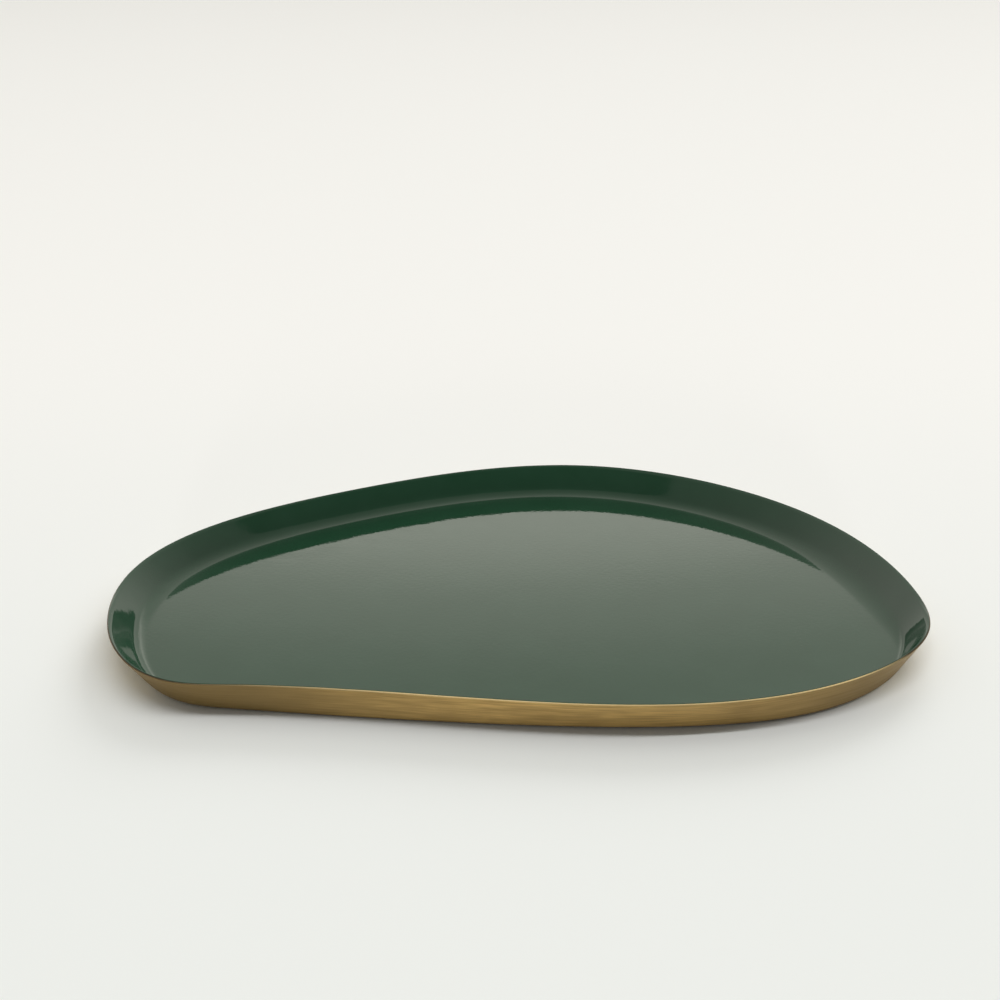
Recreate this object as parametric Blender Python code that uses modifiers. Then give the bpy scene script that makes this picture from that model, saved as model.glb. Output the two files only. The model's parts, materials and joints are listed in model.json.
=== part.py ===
"""Serving tray with a pebble outline: a pressed brass-finished pan and its enamel lining.

Metres, +Z up. The tray stands on z = 0 with its middle over the origin, its length along X
and its straighter side at the front, towards -Y.
"""
import math

import bmesh
import bpy
import numpy as np

# Places that the inner rim edge passes through, anticlockwise seen from above: x and y of the rim,
# how far inside it the floor starts, and the radius of the bend that joins wall and floor there.
# A longer run gives a wall that leans out more.
BACK_CREST = (0.0440, 0.1400, 0.0164, 0.0105)
LEFT_SHOULDER = (-0.0915, 0.1030, 0.0142, 0.0105)
LEFT_END = (-0.1990, -0.0175, 0.0166, 0.0100)
LEFT_CORNER = (-0.1500, -0.1215, 0.0111, 0.0050)
FRONT_LEFT = (-0.1300, -0.1230, 0.0080, 0.0030)
FRONT_MIDDLE = (0.0040, -0.1375, 0.0082, 0.0030)
FRONT_BELLY = (0.0890, -0.1380, 0.0091, 0.0030)
RIGHT_CORNER = (0.1470, -0.1190, 0.0073, 0.0030)
RIGHT_TURN = (0.1960, -0.0665, 0.0140, 0.0060)
RIGHT_END = (0.1985, -0.0295, 0.0190, 0.0130)
RIGHT_SHOULDER = (0.1595, 0.0720, 0.0180, 0.0120)
RIM_PLACES = (
    BACK_CREST,
    LEFT_SHOULDER,
    LEFT_END,
    LEFT_CORNER,
    FRONT_LEFT,
    FRONT_MIDDLE,
    FRONT_BELLY,
    RIGHT_CORNER,
    RIGHT_TURN,
    RIGHT_END,
    RIGHT_SHOULDER,
)

# Cross-section of the pan
RIM_HEIGHT = 0.0165         # from the underside to the top of the rim
SHEET_THICKNESS = 0.0008

# Enamel lining
ENAMEL_THICKNESS = 0.0004
LINING_GAP = 0.0003         # clearance between sheet and enamel
BARE_EDGE = 0.0006          # height of wall left bare between the enamel and the top of the rim

# Fineness of the surfaces
OUTLINE_STEP = 0.0075       # distance from one outline point to the next
BEND_STEPS = 6              # rings round the bend

# Finishes: linear colour, roughness, metallic
BRASS = ((0.45, 0.29, 0.10), 0.35, 1.0)
GREEN_ENAMEL = ((0.010, 0.045, 0.026), 0.08, 0.0)


def clear_scene():
    """Remove whatever objects the open file holds."""
    for obj in list(bpy.data.objects):
        bpy.data.objects.remove(obj, do_unlink=True)


def make_collection(name):
    """Add a collection to the scene."""
    collection = bpy.data.collections.new(name)
    bpy.context.scene.collection.children.link(collection)
    return collection


def make_material(name, finish):
    """Build a Principled material from a colour, a roughness and a metallic value."""
    colour, roughness, metallic = finish
    material = bpy.data.materials.new(name)
    material.use_nodes = True
    shader = material.node_tree.nodes["Principled BSDF"]
    shader.inputs["Base Color"].default_value = (*colour, 1.0)
    shader.inputs["Roughness"].default_value = roughness
    shader.inputs["Metallic"].default_value = metallic
    return material


def smooth_slopes(places):
    """Slopes at the places that let a closed cubic curve bend evenly all the way round."""
    count = len(places)
    ahead = np.roll(places, -1, axis=0) - places
    span = np.linalg.norm(ahead[:, :2], axis=1)
    system = np.zeros((count, count))
    target = np.zeros_like(places)
    for i in range(count):
        before, after = span[i - 1], span[i]
        system[i, i - 1] = after
        system[i, i] = 2.0 * (before + after)
        system[i, (i + 1) % count] = before
        target[i] = 3.0 * (after * ahead[i - 1] / before + before * ahead[i] / after)
    return np.linalg.solve(system, target), span


def rim_outline():
    """Closed curve through the rim's places: points round the middle of their box, runs and radii."""
    places = np.array(RIM_PLACES)
    slopes, span = smooth_slopes(places)
    curve = []
    for i in range(len(places)):
        j = (i + 1) % len(places)
        leaving = places[i] + slopes[i] * span[i] / 3.0
        arriving = places[j] - slopes[j] * span[i] / 3.0
        steps = math.ceil(span[i] / OUTLINE_STEP)
        done = np.linspace(0.0, 1.0, steps, endpoint=False)[:, None]
        left = 1.0 - done
        bow = left * leaving + done * arriving
        curve.append(left**3 * places[i] + 3.0 * left * done * bow + done**3 * places[j])
    curve = np.vstack(curve)
    points = curve[:, :2]
    return points - (points.min(axis=0) + points.max(axis=0)) / 2.0, curve[:, 2], curve[:, 3]


def wall_rings(top):
    """Rings of points down the sheet's inner face, from a height on the wall to the edge of the floor.

    At each point of the outline the wall runs straight from the rim until it meets the bend.
    """
    points, runs, radii = rim_outline()
    along = np.roll(points, -1, axis=0) - np.roll(points, 1, axis=0)
    along /= np.linalg.norm(along, axis=1)[:, None]
    inward = np.column_stack([-along[:, 1], along[:, 0]])
    rise = RIM_HEIGHT - SHEET_THICKNESS - radii
    flare = np.arccos(radii / np.hypot(runs, rise)) - np.arctan2(rise, runs)
    insets = [(RIM_HEIGHT - top) * np.tan(flare)]
    heights = [np.full_like(runs, top)]
    for step in range(BEND_STEPS + 1):
        angle = flare + (math.pi / 2.0 - flare) * step / BEND_STEPS
        insets.append(runs - radii * np.cos(angle))
        heights.append(SHEET_THICKNESS + radii * (1.0 - np.sin(angle)))
    return [
        np.column_stack([points + inward * inset[:, None], height])
        for inset, height in zip(insets, heights)
    ]


def pressed_face(rings):
    """Open surface facing into the tray: the wall and bend lofted from ring to ring, and the floor."""
    bm = bmesh.new()
    loops = [[bm.verts.new(point) for point in ring] for ring in rings]
    for upper, lower in zip(loops, loops[1:]):
        for i in range(len(upper)):
            j = (i + 1) % len(upper)
            bm.faces.new((upper[i], upper[j], lower[j], lower[i]))
    bm.faces.new(loops[-1])
    return bm


def make_shell(name, bm, thickness, offset, material, collection):
    """Turn an open surface into a named sheet of even thickness on one side of it."""
    mesh = bpy.data.meshes.new(name)
    bm.to_mesh(mesh)
    bm.free()
    mesh.shade_smooth()
    mesh.materials.append(material)
    shell = bpy.data.objects.new(name, mesh)
    collection.objects.link(shell)
    solidify = shell.modifiers.new("sheet", "SOLIDIFY")
    solidify.thickness = thickness
    solidify.offset = offset
    solidify.use_even_offset = True
    solidify.use_quality_normals = True


def make_pan(collection):
    """Pan: the sheet grows outwards and down from its inner face."""
    inner_face = pressed_face(wall_rings(RIM_HEIGHT))
    brass = make_material("satin_brass", BRASS)
    make_shell("brass_pan", inner_face, SHEET_THICKNESS, -1.0, brass, collection)


def make_lining(collection):
    """Lining: the enamel grows inwards from the gap that it keeps to the sheet's inner face."""
    covered_face = pressed_face(wall_rings(RIM_HEIGHT - BARE_EDGE))
    enamel = make_material("green_enamel", GREEN_ENAMEL)
    beyond_gap = 1.0 + 2.0 * LINING_GAP / ENAMEL_THICKNESS
    make_shell("enamel_lining", covered_face, ENAMEL_THICKNESS, beyond_gap, enamel, collection)


def main():
    clear_scene()
    tray = make_collection("pebble_tray")
    make_pan(tray)
    make_lining(tray)


main()
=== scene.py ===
"""Looks of the pebble tray: its brass pan and enamel lining, finished and set on a pale floor.

Metres, +Z up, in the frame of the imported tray. Laid out as an add-on and run as a script.
"""
import json
import math

import bmesh
import bpy
from bpy.props import FloatProperty, FloatVectorProperty, IntProperty, PointerProperty
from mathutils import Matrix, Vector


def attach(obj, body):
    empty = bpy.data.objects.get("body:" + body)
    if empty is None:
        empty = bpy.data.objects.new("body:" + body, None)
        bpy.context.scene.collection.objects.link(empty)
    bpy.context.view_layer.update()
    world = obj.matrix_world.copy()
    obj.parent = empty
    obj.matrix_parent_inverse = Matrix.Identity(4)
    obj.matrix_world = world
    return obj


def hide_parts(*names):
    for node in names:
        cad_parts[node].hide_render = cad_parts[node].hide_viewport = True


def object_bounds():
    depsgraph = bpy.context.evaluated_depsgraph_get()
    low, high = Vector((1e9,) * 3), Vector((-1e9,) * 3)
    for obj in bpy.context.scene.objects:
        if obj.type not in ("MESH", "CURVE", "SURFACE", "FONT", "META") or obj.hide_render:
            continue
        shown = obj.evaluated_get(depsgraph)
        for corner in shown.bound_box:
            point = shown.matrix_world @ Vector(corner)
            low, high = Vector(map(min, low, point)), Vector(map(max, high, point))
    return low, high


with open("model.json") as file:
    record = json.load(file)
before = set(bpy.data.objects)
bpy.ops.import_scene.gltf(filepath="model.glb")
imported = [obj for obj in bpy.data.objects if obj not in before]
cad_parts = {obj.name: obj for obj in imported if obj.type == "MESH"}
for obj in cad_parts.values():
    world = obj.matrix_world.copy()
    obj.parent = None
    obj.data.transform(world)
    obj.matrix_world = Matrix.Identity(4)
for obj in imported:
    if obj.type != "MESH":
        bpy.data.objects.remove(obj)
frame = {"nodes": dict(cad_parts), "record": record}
CAD_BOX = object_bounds()
RIM_TOP = CAD_BOX[1].z

# Heights of the tray's two flat faces, by their names
HEIGHTS = {mount["name"]: mount["pos_m"][2] for mount in frame["record"]["mounts"]}

bl_info = {
    "name": "Pebble tray",
    "version": (1, 0, 0),
    "blender": (4, 5, 0),
    "location": "View3D > Sidebar > Tray",
    "description": "Builds the finished pebble tray around its packed model",
    "category": "Object",
}

# Pieces
SHARP_ANGLE = math.radians(60.0)    # edges that turn more are rounded, and stay edges in the shading
BORDER_SLANT = 0.5                  # how far back per length to the right the floor's uneven border runs

# First input, second input and result of a Mix node, for values and for colours
MIX_VALUES = (2, 3, 0)
MIX_COLOURS = (6, 7, 2)

# Levels of noise between which a finish changes
PATCH_CONTRAST = (0.35, 0.65)       # cloudy patches
MARK_CONTRAST = (0.3, 0.7)          # brush marks

# Finishes
ENAMEL_ROUGHNESS = (0.035, 0.065)   # of its glossiest and its least glossy patches
BRASS_ROUGHNESS = (0.55, 0.42)      # of its darkest and its lightest brush marks
BAND_SPACING = 5.0                  # brush marks from one broad band to the next
BASE_TURN = (-0.8, -0.95)           # Z of the normal, from the wall to the base
FRONT_TURN = (-0.095, -0.118)       # along Y, from the ends of the tray to its front
RIM_HIGHLIGHT_START = (-0.16, -0.05)       # along X, where the painted highlight on the front rim starts
DULL_START = 0.25                   # share of the bright reach at which the brass starts to dull
DULL_MOST = 0.9                     # share of tarnish and painted shade beyond the bright reach

# Floor
FLOOR_SIZE = 30.0
FLOOR_DROP = 0.0001                 # how far below the tray it lies
FLOOR_CHANGE = (-0.3, 0.5)          # along Y, from its near to its far colour; the lighter far colour is painted light

# Room: brightness along its depth, from behind the camera (-1) to behind the tray (1)
ROOM = (
    (-1.0, 0.08), (-0.5, 0.15), (-0.37, 0.15), (-0.34, 0.33), (0.0, 0.45),
    (0.40, 0.68), (0.60, 0.80), (0.80, 0.80), (0.86, 0.73), (1.0, 0.73),
)
ROOM_TURN = (0.0, 0.0, math.radians(-7.0))
ROOM_RISE = (0.0, 0.4, 0.1, 1.0)    # heights between which it gets brighter, and its shares there
ROOM_UNDIMMED = (0.2, 0.6)          # depths between which it comes to be as bright low down

# Glow: brightness added low behind the tray
GLOW = (
    (0.652, 0.0), (0.667, 0.08), (0.68, 0.21), (0.697, 0.28),
    (0.713, 0.55), (0.73, 0.70), (0.745, 0.60), (0.77, 0.12), (1.0, 0.0),
)
GLOW_TURN = (math.radians(19.3), 0.0, 0.0)
GLOW_RISE = (0.31, 0.385, 0.0, 1.0)  # heights between which it sets in, and its shares there

WARM = (1.03, 1.0, 0.91)            # tint of the room and the glow
BACKDROP = (0.88, 0.87, 0.83)       # what the camera sees beyond the floor


class TrayShape(bpy.types.PropertyGroup):
    """Sizes of the sheet, the enamel, their edges and the unevenness that pressing leaves."""

    sheet_thickness: FloatProperty(
        name="Sheet thickness",
        description="Thickness of the pressed sheet",
        default=0.0008,
        unit="LENGTH",
    )
    rim_rounding: FloatProperty(
        name="Rim rounding",
        description="Width of the rounding on the cut edges of the sheet",
        default=0.0003,
        unit="LENGTH",
    )
    enamel_edge: FloatProperty(
        name="Enamel edge",
        description="Thickness of the enamel where it thins out at the rim",
        default=0.0002,
        unit="LENGTH",
    )
    enamel_rounding: FloatProperty(
        name="Enamel rounding",
        description="Width of the rounding on the edge of the enamel",
        default=0.00008,
        unit="LENGTH",
    )
    wall_rings: IntProperty(
        name="Wall rings",
        description="Edge loops added between the rim and the bend",
        default=2,
    )
    floor_rings: IntProperty(
        name="Floor rings",
        description="Edge loops between the border and the middle of the floor",
        default=7,
    )
    fineness: IntProperty(
        name="Fineness",
        description="Subdivision steps of the pressed face",
        default=2,
    )
    ripple_height: FloatProperty(
        name="Ripple height",
        description="Height of the unevenness that pressing leaves in the sheet",
        default=0.00015,
        unit="LENGTH",
    )
    ripple_length: FloatProperty(
        name="Ripple length",
        description="Size of one swell of the unevenness",
        default=0.012,
        unit="LENGTH",
    )
    ripple_end: FloatProperty(
        name="Ripple end",
        description="Where along the tray the unevenness has died away",
        default=0.07,
        unit="LENGTH",
    )
    ripple_fade: FloatProperty(
        name="Ripple fade",
        description="Length over which the unevenness dies away",
        default=0.09,
        unit="LENGTH",
    )
    floor_ripple: FloatProperty(
        name="Floor ripple",
        description="Share of the wall's unevenness that the floor has near the left shoulder",
        subtype="FACTOR",
        default=0.5,
    )
    ripple_border: FloatProperty(
        name="Ripple border",
        description="How far behind the middle of the floor its unevenness starts",
        default=0.09,
        unit="LENGTH",
    )


class TrayFinish(bpy.types.PropertyGroup):
    """Colours and surface of the brass and the enamel."""

    enamel_colour: FloatVectorProperty(
        name="Enamel",
        description="Colour of the enamel",
        subtype="COLOR",
        size=3,
        min=0.0,
        max=1.0,
        default=(0.008, 0.047, 0.021),
    )
    enamel_cloud: FloatVectorProperty(
        name="Enamel clouds",
        description="Colour of the enamel where it lies a little thinner",
        subtype="COLOR",
        size=3,
        min=0.0,
        max=1.0,
        default=(0.011, 0.052, 0.025),
    )
    cloud_size: FloatProperty(
        name="Cloud size",
        description="Size of the clouds in the colour of the enamel",
        default=0.03,
        unit="LENGTH",
    )
    gloss_size: FloatProperty(
        name="Gloss size",
        description="Size of the patches in the gloss of the enamel",
        default=0.012,
        unit="LENGTH",
    )
    peel_length: FloatProperty(
        name="Peel length",
        description="Size of the orange peel in the enamel",
        default=0.002,
        unit="LENGTH",
    )
    peel_height: FloatProperty(
        name="Peel height",
        description="Height of the orange peel in the enamel",
        default=0.000015,
        unit="LENGTH",
    )
    brass_colour: FloatVectorProperty(
        name="Brass",
        description="Colour of the clean brass",
        subtype="COLOR",
        size=3,
        min=0.0,
        max=1.0,
        default=(0.72, 0.475, 0.163),
    )
    smudge_colour: FloatVectorProperty(
        name="Smudges",
        description="Colour of the brass where it has been touched",
        subtype="COLOR",
        size=3,
        min=0.0,
        max=1.0,
        default=(0.43, 0.28, 0.095),
    )
    smudge_size: FloatProperty(
        name="Smudge size",
        description="Size of the smudges on the brass",
        default=0.022,
        unit="LENGTH",
    )
    # Tarnish and painted shade: the brass is coloured darker towards the ends of the tray
    tarnish_and_shade_colour: FloatVectorProperty(
        name="Tarnish",
        description="Colour of the duller brass towards the ends",
        subtype="COLOR",
        size=3,
        min=0.0,
        max=1.0,
        default=(0.225, 0.152, 0.055),
    )
    front_bounce: FloatVectorProperty(
        name="Front bounce",
        description="Colour of the brass in the light that it throws on to the floor below its front",
        subtype="COLOR",
        size=3,
        min=0.0,
        max=1.0,
        default=(0.20, 0.145, 0.075),
    )
    end_bounce: FloatVectorProperty(
        name="End bounce",
        description="Colour of the brass in the light that it throws on to the floor beside its ends",
        subtype="COLOR",
        size=3,
        min=0.0,
        max=1.0,
        default=(0.62, 0.50, 0.30),
    )
    # Painted shade: the cut edge away from the front rim is coloured dark, as it lies in shade
    shaded_edge_colour: FloatVectorProperty(
        name="Cut edge",
        description="Colour of the cut edge where it is not rubbed",
        subtype="COLOR",
        size=3,
        min=0.0,
        max=1.0,
        default=(0.085, 0.06, 0.035),
    )
    # Painted highlight: a bright colour along the front rim stands in for the light that it catches
    rim_highlight_colour: FloatVectorProperty(
        name="Worn rim",
        description="Colour of the brass that is rubbed bright along the rim",
        subtype="COLOR",
        size=3,
        min=0.0,
        max=1.0,
        default=(0.97, 0.76, 0.40),
    )
    brush_length: FloatProperty(
        name="Brush length",
        description="Length of the brush marks in the brass",
        default=0.022,
        unit="LENGTH",
    )
    brush_spacing: FloatProperty(
        name="Brush spacing",
        description="Distance from one brush mark to the next",
        default=0.0007,
        unit="LENGTH",
    )
    brush_depth: FloatProperty(
        name="Brush depth",
        description="Depth of the brush marks",
        default=0.00001,
        unit="LENGTH",
    )
    bright_middle: FloatProperty(
        name="Bright middle",
        description="Where along the tray the brass is brightest",
        default=0.018,
        unit="LENGTH",
    )
    bright_reach: FloatProperty(
        name="Bright reach",
        description="How far from there the brass has turned dull",
        default=0.135,
        unit="LENGTH",
    )
    # Height of the band below the rim that takes the painted highlight at the front and the painted shade
    # elsewhere
    rim_band_height: FloatProperty(
        name="Worn height",
        description="Height of the brass that is rubbed bright below the rim",
        default=0.0005,
        unit="LENGTH",
    )


class TrayStage(bpy.types.PropertyGroup):
    """Floor, light and camera."""

    floor_near: FloatVectorProperty(
        name="Floor near",
        description="Colour of the floor in front of the tray",
        subtype="COLOR",
        size=3,
        min=0.0,
        max=1.0,
        default=(0.86, 0.885, 0.88),
    )
    # Painted light: the far colour is lighter to stand in for more light falling behind the tray
    floor_far: FloatVectorProperty(
        name="Floor far",
        description="Colour of the floor far behind the tray",
        subtype="COLOR",
        size=3,
        min=0.0,
        max=1.0,
        default=(0.945, 0.945, 0.935),
    )
    light_power: FloatProperty(
        name="Light power",
        description="Power of the strip light overhead",
        unit="POWER",
        default=960.0,
    )
    light_length: FloatProperty(
        name="Light length",
        description="Length of the strip light overhead, along the tray",
        unit="LENGTH",
        default=26.0,
    )
    light_width: FloatProperty(
        name="Light width",
        description="Width of the strip light overhead",
        unit="LENGTH",
        default=0.8,
    )
    light_place: FloatVectorProperty(
        name="Light place",
        description="Where the middle of the strip light hangs",
        subtype="TRANSLATION",
        unit="LENGTH",
        size=3,
        default=(8.8, -0.5, 11.0),
    )
    light_turn: FloatProperty(
        name="Light turn",
        description="How far the strip light is turned away from the length of the tray",
        subtype="ANGLE",
        default=math.radians(7.0),
    )
    back_strength: FloatProperty(
        name="Back strength",
        description="Strength of the low light from behind the tray",
        default=1.25,
    )
    back_spread: FloatProperty(
        name="Back spread",
        description="Angle that the low light from behind the tray fills",
        subtype="ANGLE",
        default=math.radians(25.0),
    )
    back_turn: FloatVectorProperty(
        name="Back turn",
        description="Turn of the low light, which comes from behind the tray and a little from the right",
        subtype="EULER",
        unit="ROTATION",
        size=3,
        default=(math.radians(69.0), 0.0, math.radians(163.0)),
    )
    front_strength: FloatProperty(
        name="Front strength",
        description="Strength of the low light from the front",
        default=1.0,
    )
    front_spread: FloatProperty(
        name="Front spread",
        description="Angle that the low light from the front fills",
        subtype="ANGLE",
        default=math.radians(5.0),
    )
    front_turn: FloatVectorProperty(
        name="Front turn",
        description="Turn of the low light from the front",
        subtype="EULER",
        unit="ROTATION",
        size=3,
        default=(math.radians(87.0), 0.0, 0.0),
    )
    camera_place: FloatVectorProperty(
        name="Camera place",
        description="Where the camera stands",
        subtype="TRANSLATION",
        unit="LENGTH",
        size=3,
        default=(-0.0082, -0.7018, 0.3481),
    )
    camera_pitch: FloatProperty(
        name="Camera pitch",
        description="How far the camera looks down",
        subtype="ANGLE",
        default=math.radians(22.82),
    )
    camera_lens: FloatProperty(
        name="Camera lens",
        description="Focal length on a 36 mm sensor",
        subtype="DISTANCE_CAMERA",
        default=54.0,
    )


def start_piece(name, mesh):
    """Link a new object for a mesh, as the only selected and the active one."""
    bpy.ops.object.select_all(action="DESELECT")
    piece = bpy.data.objects.new(name, mesh)
    bpy.context.scene.collection.objects.link(piece)
    piece.select_set(True)
    bpy.context.view_layer.objects.active = piece
    return piece


def select_faces(mesh, wanted):
    """Select in edit mode the faces that a test picks, and nothing else."""
    bpy.ops.mesh.select_mode(type="FACE")
    bm = bmesh.from_edit_mesh(mesh)
    for face in bm.faces:
        face.select_set(wanted(face))
    bmesh.update_edit_mesh(mesh)


def select_edges(mesh, wanted):
    """Select in edit mode the edges that a test picks, and nothing else."""
    bpy.ops.mesh.select_all(action="DESELECT")
    bpy.ops.mesh.select_mode(type="EDGE")
    bm = bmesh.from_edit_mesh(mesh)
    for edge in bm.edges:
        edge.select_set(wanted(edge))
    bmesh.update_edit_mesh(mesh)


def clamp(value):
    """Value held between 0 and 1."""
    return min(max(value, 0.0), 1.0)


def weigh_vertices(piece, name, weight):
    """Add a vertex group whose weights, held between 0 and 1, come from each vertex's place."""
    group = piece.vertex_groups.new(name=name)
    for vertex in piece.data.vertices:
        group.add((vertex.index,), clamp(weight(vertex.co)), "REPLACE")
    return group.name


def apply_modifier(piece, kind, **values):
    """Add a modifier to a piece, set it and apply it."""
    modifier = piece.modifiers.new(kind.title(), kind)
    for key, value in values.items():
        setattr(modifier, key, value)
    bpy.ops.object.modifier_apply(modifier=modifier.name)


def round_edges(piece, width):
    """Round the sharp edges of a piece."""
    apply_modifier(
        piece,
        "BEVEL",
        width=width,
        segments=3,
        limit_method="ANGLE",
        angle_limit=SHARP_ANGLE,
    )


def press_unevenly(piece, shape, floor_top):
    """Make the wall of a piece's left half, and the floor beside its left shoulder, slightly uneven."""

    def unevenness(co):
        along = clamp((shape.ripple_end - co.x) / shape.ripple_fade)
        if co.z - floor_top > shape.sheet_thickness:
            return along
        beyond = co.y - BORDER_SLANT * co.x - shape.ripple_border
        return along * shape.floor_ripple * clamp(beyond / shape.ripple_length)

    ripple = bpy.data.textures.new("pressing_ripple", "CLOUDS")
    ripple.noise_scale = shape.ripple_length
    ripple.noise_depth = 1
    apply_modifier(
        piece,
        "DISPLACE",
        texture=ripple,
        texture_coords="LOCAL",
        strength=shape.ripple_height,
        vertex_group=weigh_vertices(piece, "uneven", unevenness),
    )


def pressed_face(name, shape):
    """Piece with the inner face of the pressed sheet: smooth wall and bend, and a floor of even quads."""
    piece = start_piece(name, frame["nodes"]["brass_pan"].data.copy())
    mesh = piece.data
    mesh.materials.clear()
    rim_zone = RIM_TOP - shape.sheet_thickness
    floor_top = HEIGHTS["underside"] + shape.sheet_thickness
    near = shape.sheet_thickness / 100.0    # points closer than this count as one

    bpy.ops.object.mode_set(mode="EDIT")
    bpy.ops.mesh.select_all(action="SELECT")
    bpy.ops.mesh.customdata_custom_splitnormals_clear()
    bpy.ops.mesh.remove_doubles(threshold=near)

    # The outside and the cut edge go, the inner face stays
    select_faces(mesh, lambda f: f.normal.z < 0.0 or f.calc_center_median().z > rim_zone)
    bpy.ops.mesh.delete(type="FACE")

    # The wall and the bend become quads
    def on_floor(face):
        return all(abs(v.co.z - floor_top) < near for v in face.verts)

    select_faces(mesh, lambda f: not on_floor(f))
    bpy.ops.mesh.tris_convert_to_quads(face_threshold=math.pi, shape_threshold=math.pi)

    # The floor becomes one face, with a flat border two sheets wide and rings that close in on its middle
    select_faces(mesh, on_floor)
    bpy.ops.mesh.dissolve_faces()
    bpy.ops.mesh.inset(thickness=2.0 * shape.sheet_thickness)
    for ring in range(shape.floor_rings, 1, -1):
        shrink = (ring - 1) / ring
        bpy.ops.mesh.inset(thickness=0.0)
        bpy.ops.transform.resize(value=(shrink, shrink, 1.0), center_override=(0.0, 0.0, floor_top))
    bpy.ops.mesh.poke()

    # Rings up the wall, from the bend to the rim
    def stands_on_wall(edge):
        heights = sorted(v.co.z for v in edge.verts)
        return heights[1] > rim_zone and heights[0] < rim_zone

    select_edges(mesh, stands_on_wall)
    bpy.ops.mesh.subdivide(number_cuts=shape.wall_rings)
    bpy.ops.object.mode_set(mode="OBJECT")
    apply_modifier(piece, "SUBSURF", levels=shape.fineness, render_levels=shape.fineness)
    press_unevenly(piece, shape, floor_top)
    return piece


def finish_piece(piece, node, material):
    """Shade a piece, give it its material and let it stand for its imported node."""
    piece.data.materials.append(material)
    bpy.ops.object.shade_smooth_by_angle(angle=SHARP_ANGLE)
    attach(piece, "root")
    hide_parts(node)


def start_material(name):
    """New material, its node tree and its Principled shader."""
    material = bpy.data.materials.new(name)
    material.use_nodes = True
    return material, material.node_tree, material.node_tree.nodes["Principled BSDF"]


def fill_inputs(tree, node, inputs):
    """Set the inputs of a node to values, or link them to other nodes' outputs."""
    for key, value in inputs.items():
        if isinstance(value, bpy.types.NodeSocket):
            tree.links.new(value, node.inputs[key])
        else:
            node.inputs[key].default_value = value


def add_node(tree, kind, inputs=None, **settings):
    """Add a node to a tree with its settings and inputs."""
    node = tree.nodes.new(kind)
    for key, value in settings.items():
        setattr(node, key, value)
    fill_inputs(tree, node, inputs or {})
    return node


def between(tree, value, start, end, low=0.0, high=1.0):
    """Output that goes from low to high while a value goes from start to end."""
    inputs = {"Value": value, "From Min": start, "From Max": end, "To Min": low, "To Max": high}
    return add_node(tree, "ShaderNodeMapRange", inputs).outputs["Result"]


def calculate(tree, operation, *values):
    """Output of a calculation with one or two values."""
    return add_node(tree, "ShaderNodeMath", dict(enumerate(values)), operation=operation).outputs[0]


def split_axes(tree, vector):
    """X, Y and Z outputs of a vector."""
    return add_node(tree, "ShaderNodeSeparateXYZ", {"Vector": vector}).outputs


def mix(tree, share, first, second, sockets, **settings):
    """Output of a Mix node, whose first and second input and result are the given sockets."""
    one, other, result = sockets
    inputs = {"Factor": share, one: first, other: second}
    return add_node(tree, "ShaderNodeMix", inputs, **settings).outputs[result]


def blend_values(tree, share, first, second):
    """Output that goes from the first value to the second as a share goes from 0 to 1."""
    return mix(tree, share, first, second, MIX_VALUES)


def as_colour(value):
    """Colour for a node input: a plain colour gets its alpha, an output stays as it is."""
    return value if isinstance(value, bpy.types.NodeSocket) else (*value, 1.0)


def blend_colours(tree, share, first, second):
    """Output that goes from the first colour to the second as a share goes from 0 to 1."""
    return mix(tree, share, as_colour(first), as_colour(second), MIX_COLOURS, data_type="RGBA")


def combine(tree, how, first, second):
    """Output of two colours added or multiplied."""
    return mix(tree, 1.0, first, second, MIX_COLOURS, data_type="RGBA", blend_type=how)


def mottle_group():
    """Shader group of the finishes: cloudy patches of a given size, as values from low to high."""
    group = bpy.data.node_groups.get("mottle")
    if group is not None:
        return group
    group = bpy.data.node_groups.new("mottle", "ShaderNodeTree")
    group.interface.new_socket("Place", in_out="INPUT", socket_type="NodeSocketVector")
    for name in ("Size", "Low", "High"):
        group.interface.new_socket(name, in_out="INPUT", socket_type="NodeSocketFloat")
    group.interface.new_socket("Value", in_out="OUTPUT", socket_type="NodeSocketFloat")
    given = group.nodes.new("NodeGroupInput").outputs
    scale = calculate(group, "DIVIDE", 1.0, given["Size"])
    noise = add_node(
        group,
        "ShaderNodeTexNoise",
        {"Vector": given["Place"], "Scale": scale, "Detail": 3.0, "Roughness": 0.55},
    )
    value = between(group, noise.outputs[0], *PATCH_CONTRAST, given["Low"], given["High"])
    add_node(group, "NodeGroupOutput", {"Value": value})
    return group


def mottle(tree, place, size, low=0.0, high=1.0):
    """Output of cloudy patches from low to high."""
    inputs = {"Place": place, "Size": size, "Low": low, "High": high}
    return add_node(tree, "ShaderNodeGroup", inputs, node_tree=mottle_group()).outputs["Value"]


def stretched_noise(tree, place, sizes):
    """Output of noise with its own size along each axis."""
    scale = tuple(1.0 / size for size in sizes)
    mapping = add_node(tree, "ShaderNodeMapping", {"Vector": place, "Scale": scale})
    noise = add_node(
        tree,
        "ShaderNodeTexNoise",
        {"Vector": mapping.outputs["Vector"], "Scale": 1.0, "Detail": 2.0},
    )
    return noise.outputs[0]


def enamel_material(finish):
    """Glossy dark green enamel, a little cloudy, with a faint orange peel."""
    material, tree, shader = start_material("green_enamel")
    place = add_node(tree, "ShaderNodeTexCoord").outputs["Object"]
    clouds = mottle(tree, place, finish.cloud_size)
    peel = add_node(
        tree,
        "ShaderNodeTexNoise",
        {"Vector": place, "Scale": 1.0 / finish.peel_length, "Detail": 1.0},
    )
    bump = add_node(tree, "ShaderNodeBump", {"Height": peel.outputs[0], "Distance": finish.peel_height})
    fill_inputs(
        tree,
        shader,
        {
            "Base Color": blend_colours(tree, clouds, finish.enamel_colour, finish.enamel_cloud),
            "Roughness": mottle(tree, place, finish.gloss_size, *ENAMEL_ROUGHNESS),
            "IOR": 1.6,
            "Normal": bump.outputs["Normal"],
        },
    )
    return material


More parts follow.
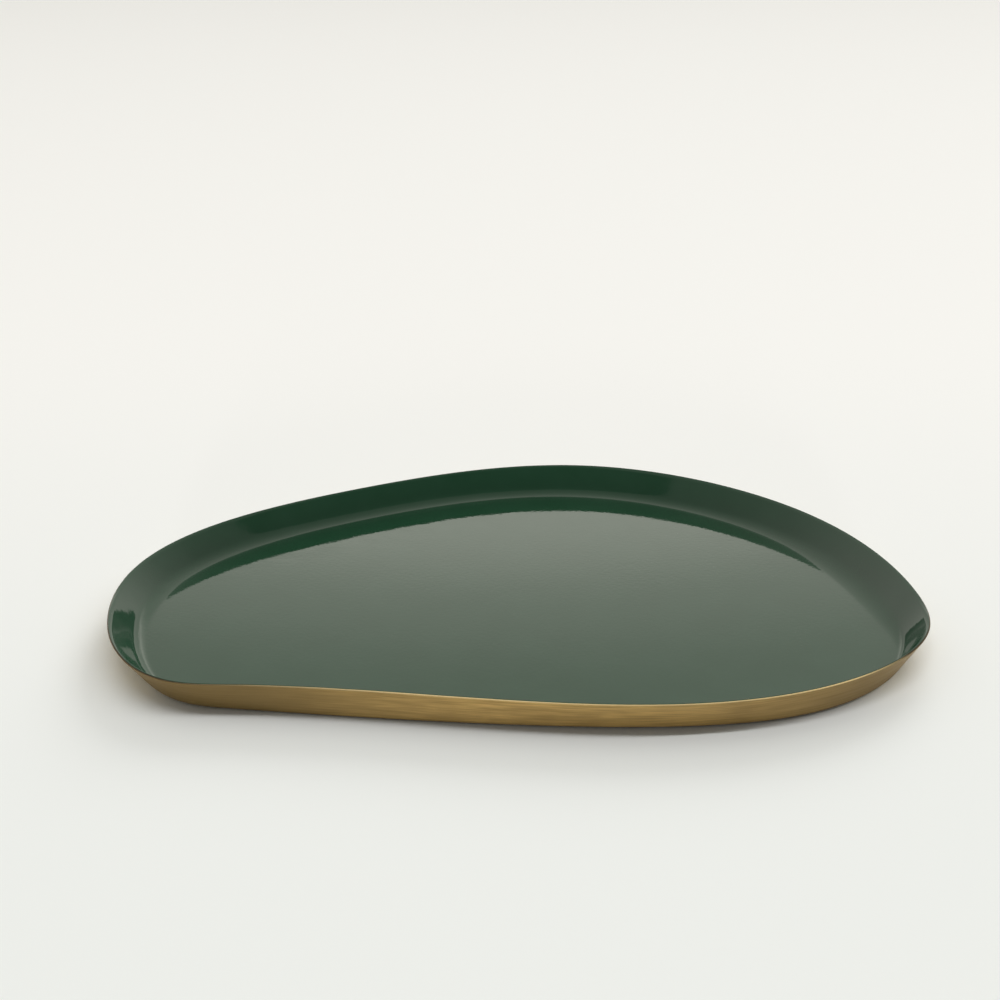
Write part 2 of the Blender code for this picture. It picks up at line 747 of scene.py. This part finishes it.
def brush_marks(tree, place, facing, length, spacing):
    """Output of brush marks that run round the wall and along the base."""
    on_wall = stretched_noise(tree, place, (length, length, spacing))
    on_base = stretched_noise(tree, place, (length, spacing, length))
    flatness = between(tree, facing["Z"], *BASE_TURN)
    return between(tree, blend_values(tree, flatness, on_wall, on_base), *MARK_CONTRAST)


def wall_colour(tree, finish, place, along, marks, bands):
    """Output of the brushed brass's colour, with smudges, and darker towards the ends from tarnish and
    painted shade.
    """
    brushed = blend_colours(tree, marks, finish.smudge_colour, finish.brass_colour)
    banded = blend_colours(tree, bands, finish.smudge_colour, brushed)
    touched = blend_colours(tree, mottle(tree, place, finish.smudge_size), banded, brushed)
    # Painted shade, with some tarnish: the brass darkens with distance from its brightest place
    away = calculate(tree, "ABSOLUTE", calculate(tree, "SUBTRACT", along, finish.bright_middle))
    reach = finish.bright_reach
    dull = between(tree, away, DULL_START * reach, reach, 0.0, DULL_MOST)
    return blend_colours(tree, dull, touched, finish.tarnish_and_shade_colour)


def brass_material(finish):
    """Satin brass: brushed and smudged, darker towards the ends from tarnish and painted shade, with a
    painted highlight along the front rim and painted shade on the rest of the cut edge.
    """
    material, tree, shader = start_material("satin_brass")
    place = add_node(tree, "ShaderNodeTexCoord").outputs["Object"]
    axes = split_axes(tree, place)
    facing = split_axes(tree, add_node(tree, "ShaderNodeNewGeometry").outputs["Normal"])
    length, spacing = finish.brush_length, finish.brush_spacing
    marks = brush_marks(tree, place, facing, length, spacing)
    bands = brush_marks(tree, place, facing, length, BAND_SPACING * spacing)
    wall = wall_colour(tree, finish, place, axes["X"], marks, bands)

    at_front = between(tree, axes["Y"], *FRONT_TURN)
    # Painted highlight along the front rim, fading out to the left, and painted shade on the rest of the
    # cut edge
    highlit = calculate(tree, "MULTIPLY", at_front, between(tree, axes["X"], *RIM_HIGHLIGHT_START))
    edge = blend_colours(tree, highlit, finish.shaded_edge_colour, finish.rim_highlight_colour)
    height = finish.rim_band_height
    on_edge = between(tree, axes["Z"], RIM_TOP - height, RIM_TOP - height / 2.0)
    colour = blend_colours(tree, on_edge, wall, edge)

    # The floor beside the ends gets light off the metal, and below the front it stays dark
    thrown = blend_colours(tree, at_front, finish.end_bounce, finish.front_bounce)
    on_floor = add_node(tree, "ShaderNodeLightPath").outputs["Is Diffuse Ray"]

    bump = add_node(tree, "ShaderNodeBump", {"Height": marks, "Distance": finish.brush_depth})
    tangent = add_node(tree, "ShaderNodeTangent", direction_type="RADIAL", axis="Z")
    fill_inputs(
        tree,
        shader,
        {
            "Base Color": blend_colours(tree, on_floor, colour, thrown),
            "Metallic": 0.6,
            "Roughness": between(tree, marks, 0.0, 1.0, *BRASS_ROUGHNESS),
            "Anisotropic": 0.3,
            "Normal": bump.outputs["Normal"],
            "Tangent": tangent.outputs["Tangent"],
        },
    )
    return material


def floor_material(stage):
    """Matt pale floor, with painted light that makes it a little lighter towards the back."""
    material, tree, shader = start_material("pale_floor")
    place = add_node(tree, "ShaderNodeTexCoord").outputs["Object"]
    # Painted light: the floor's colour grows lighter towards the back, where more light falls on it
    near, far = FLOOR_CHANGE
    distance = add_node(
        tree,
        "ShaderNodeMapRange",
        {"Value": split_axes(tree, place)["Y"], "From Min": near, "From Max": far},
        interpolation_type="SMOOTHSTEP",
    ).outputs["Result"]
    fill_inputs(
        tree,
        shader,
        {
            "Base Color": blend_colours(tree, distance, stage.floor_near, stage.floor_far),
            "Roughness": 0.9,
            "Specular IOR Level": 0.2,
        },
    )
    return material


def brightness(tree, direction, turn, stops):
    """Colour that follows brightness stops along the depth of a turned direction, from -1 to 1."""
    turned = add_node(tree, "ShaderNodeMapping", {"Vector": direction, "Rotation": turn})
    depth = split_axes(tree, turned.outputs["Vector"])["Y"]
    ramp = add_node(tree, "ShaderNodeValToRGB", {"Fac": between(tree, depth, -1.0, 1.0)})
    elements = ramp.color_ramp.elements
    while len(elements) < len(stops):
        elements.new(1.0)
    for element, (place, level) in zip(elements, stops):
        element.position = (place + 1.0) / 2.0
        element.color = (*(level * tint for tint in WARM), 1.0)
    return ramp.outputs["Color"]


def light_surround(scene):
    """World that is bright behind the tray and dark behind the camera, without an image."""
    world = bpy.data.worlds.new("studio")
    world.use_nodes = True
    tree = world.node_tree
    direction = add_node(tree, "ShaderNodeTexCoord").outputs["Generated"]
    axes = split_axes(tree, direction)
    behind = between(tree, axes["Y"], *ROOM_UNDIMMED)
    room_rise = blend_values(tree, behind, between(tree, axes["Z"], *ROOM_RISE), 1.0)
    room = combine(tree, "MULTIPLY", brightness(tree, direction, ROOM_TURN, ROOM), room_rise)
    glow_rise = between(tree, axes["Z"], *GLOW_RISE)
    glow = combine(tree, "MULTIPLY", brightness(tree, direction, GLOW_TURN, GLOW), glow_rise)
    seen = add_node(tree, "ShaderNodeLightPath").outputs["Is Camera Ray"]
    colour = blend_colours(tree, seen, combine(tree, "ADD", room, glow), BACKDROP)
    fill_inputs(tree, tree.nodes["Background"], {"Color": colour})
    scene.world = world


def add_light(kind, name, values, **placing):
    """Add a light that shines on the scene and isn't mirrored in glossy surfaces."""
    bpy.ops.object.light_add(type=kind, **placing)
    light = bpy.context.active_object
    light.name = name
    light.visible_glossy = False
    for key, value in values.items():
        setattr(light.data, key, value)


class TRAY_OT_brass_pan(bpy.types.Operator):
    """Build the pressed pan of satin brass"""

    bl_idname = "tray.brass_pan"
    bl_label = "Brass pan"

    def execute(self, context):
        shape = context.scene.tray_shape
        pan = pressed_face("pan", shape)
        apply_modifier(
            pan,
            "SOLIDIFY",
            thickness=shape.sheet_thickness,
            offset=-1.0,
            use_even_offset=True,
        )
        round_edges(pan, shape.rim_rounding)
        brass = brass_material(context.scene.tray_finish)
        finish_piece(pan, "brass_pan", brass)
        return {"FINISHED"}


class TRAY_OT_enamel_lining(bpy.types.Operator):
    """Build the enamel that lines the pan up to its rim"""

    bl_idname = "tray.enamel_lining"
    bl_label = "Enamel lining"

    def execute(self, context):
        shape = context.scene.tray_shape
        lining = pressed_face("lining", shape)
        depth = HEIGHTS["tray_floor"] - HEIGHTS["underside"] - shape.sheet_thickness
        apply_modifier(
            lining,
            "SOLIDIFY",
            thickness=depth,
            offset=1.0,
            use_even_offset=True,
            vertex_group=weigh_vertices(
                lining, "full_depth", lambda co: (RIM_TOP - co.z) / shape.sheet_thickness
            ),
            thickness_vertex_group=shape.enamel_edge / depth,
        )
        round_edges(lining, shape.enamel_rounding)
        enamel = enamel_material(context.scene.tray_finish)
        finish_piece(lining, "enamel_lining", enamel)
        return {"FINISHED"}


class TRAY_OT_stage(bpy.types.Operator):
    """Set the floor, the light and the camera"""

    bl_idname = "tray.stage"
    bl_label = "Stage"

    def execute(self, context):
        stage = context.scene.tray_stage
        scene = context.scene
        bpy.ops.object.select_all(action="DESELECT")
        bpy.ops.mesh.primitive_plane_add(size=FLOOR_SIZE, location=(0.0, 0.0, -FLOOR_DROP))
        floor = context.active_object
        floor.name = "floor"
        floor.data.materials.append(floor_material(stage))

        light_surround(scene)
        add_light(
            "AREA",
            "overhead_light",
            {
                "shape": "RECTANGLE",
                "size": stage.light_length,
                "size_y": stage.light_width,
                "energy": stage.light_power,
            },
            location=stage.light_place,
            rotation=(0.0, 0.0, stage.light_turn),
        )
        add_light(
            "SUN",
            "back_light",
            {"energy": stage.back_strength, "angle": stage.back_spread},
            rotation=stage.back_turn,
        )
        add_light(
            "SUN",
            "front_light",
            {"energy": stage.front_strength, "angle": stage.front_spread},
            rotation=stage.front_turn,
        )
        scene.view_settings.view_transform = "Standard"

        bpy.ops.object.camera_add(
            location=stage.camera_place,
            rotation=(math.pi / 2.0 - stage.camera_pitch, 0.0, 0.0),
        )
        camera = context.active_object
        camera.name = "camera"
        camera.data.lens = stage.camera_lens
        scene.camera = camera
        return {"FINISHED"}


class VIEW3D_PT_tray(bpy.types.Panel):
    """Sizes, finishes and building steps of the tray"""

    bl_label = "Pebble tray"
    bl_space_type = "VIEW_3D"
    bl_region_type = "UI"
    bl_category = "Tray"

    def draw(self, context):
        layout = self.layout
        for key in SETTINGS:
            group = getattr(context.scene, key)
            for value in group.bl_rna.properties.keys():
                if value not in {"rna_type", "name"}:
                    layout.prop(group, value)
        for operator in OPERATORS:
            layout.operator(operator.bl_idname)


OPERATORS = (TRAY_OT_brass_pan, TRAY_OT_enamel_lining, TRAY_OT_stage)
SETTINGS = {"tray_shape": TrayShape, "tray_finish": TrayFinish, "tray_stage": TrayStage}


def register():
    """Register the classes and give the scene its settings."""
    for cls in (*SETTINGS.values(), *OPERATORS, VIEW3D_PT_tray):
        bpy.utils.register_class(cls)
    for key, group in SETTINGS.items():
        setattr(bpy.types.Scene, key, PointerProperty(type=group))


def unregister():
    """Take the settings and the classes away again."""
    for key in SETTINGS:
        delattr(bpy.types.Scene, key)
    for cls in (VIEW3D_PT_tray, *OPERATORS, *SETTINGS.values()):
        bpy.utils.unregister_class(cls)


def main():
    """Build the tray and its stage."""
    register()
    bpy.ops.tray.brass_pan()
    bpy.ops.tray.enamel_lining()
    bpy.ops.tray.stage()


if __name__ == "__main__":
    main()
